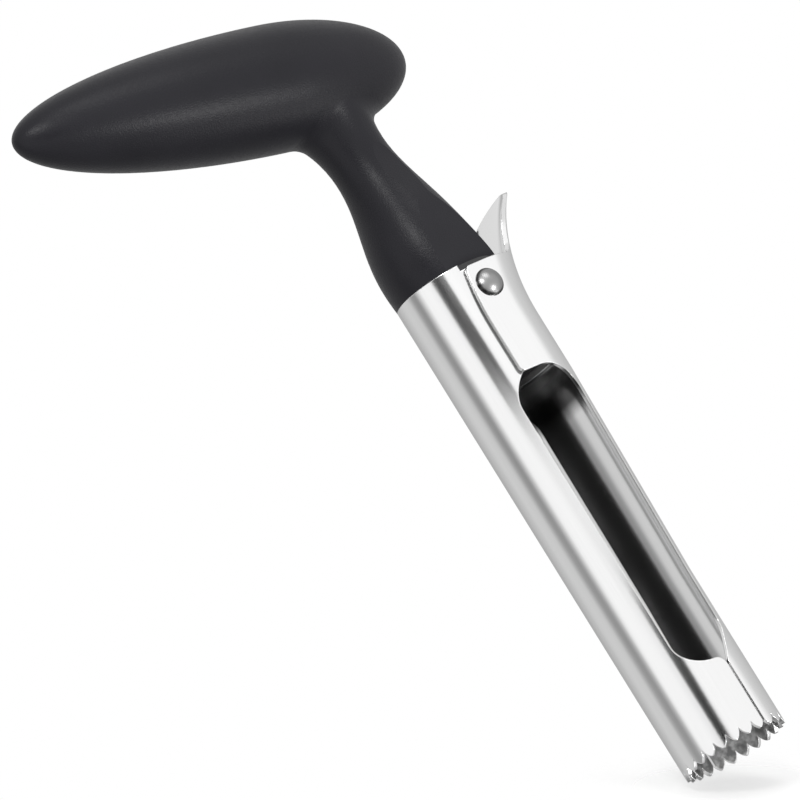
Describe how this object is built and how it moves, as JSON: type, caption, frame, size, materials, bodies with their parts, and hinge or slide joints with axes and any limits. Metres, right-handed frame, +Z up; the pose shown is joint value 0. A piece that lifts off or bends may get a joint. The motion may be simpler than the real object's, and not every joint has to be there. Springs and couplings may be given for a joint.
{
  "type": "apple corer",
  "caption": "Hand apple corer: egg-shaped T handle, steel tube split into a fixed and a pivoting half, serrated mouth, and a thumb ear that swings the tube open to drop the core.",
  "frame": {"origin": "on the tube's axis, at the tips of the teeth", "axes": "+Z up the tube towards the handle, +X towards the lever and its thumb ear, -X towards the long arm of the handle, Y along the pivot rivet"},
  "size_m": [0.102, 0.0296, 0.1882],
  "materials": {
    "grip": "soft-touch charcoal with a fine moulded grain",
    "core": "moulded black nylon",
    "blade_steel": "satin stainless steel, brushed along the tube",
    "lever_steel": "bright satin stainless steel",
    "rivet_steel": "polished steel"
  },
  "bodies": {
    "handle": {"handle_grip": "grip", "handle_core": "core", "fixed_blade": "blade_steel", "rivet_post": "rivet_steel", "rivet_pin": "rivet_steel"},
    "lever": {"lever_blade": "lever_steel"}
  },
  "joints": [
    {"name": "lever_pivot", "type": "hinge", "parent": "handle", "child": "lever", "pos_m": [0, 0, 0.1105], "axis": [0, -1, 0], "range_deg": [0, 15]}
  ]
}
